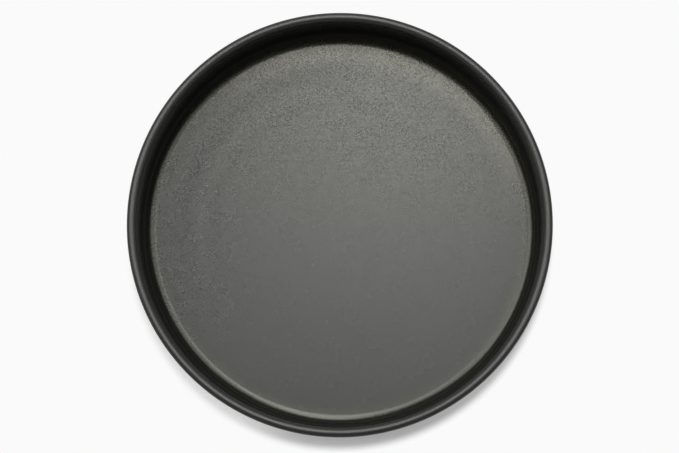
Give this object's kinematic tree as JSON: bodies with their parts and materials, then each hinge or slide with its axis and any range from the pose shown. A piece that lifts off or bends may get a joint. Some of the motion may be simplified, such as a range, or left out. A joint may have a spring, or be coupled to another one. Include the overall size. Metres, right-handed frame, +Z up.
{
  "type": "round baking pan",
  "caption": "Round straight-sided baking pan with a flat floor, a coved corner and a rolled, wired rim, for baking cakes and deep pizzas.",
  "frame": {"origin": "centre of the flat underside that the pan stands on", "axes": "+Z up along the pan's axis, out of its mouth; X and Y are alike because the pan is round"},
  "size_m": [0.3188, 0.3188, 0.0524],
  "materials": {
    "anodised_sheet": "dark grey hard-anodised sheet, satin, with a fine speckle and faint spinning rings",
    "drawn_wire": "bare drawn aluminium wire, satin, with fine lengthwise draw lines"
  },
  "bodies": {
    "root": {"pan_body": "anodised_sheet", "rim_wire": "drawn_wire"}
  },
  "joints": []
}
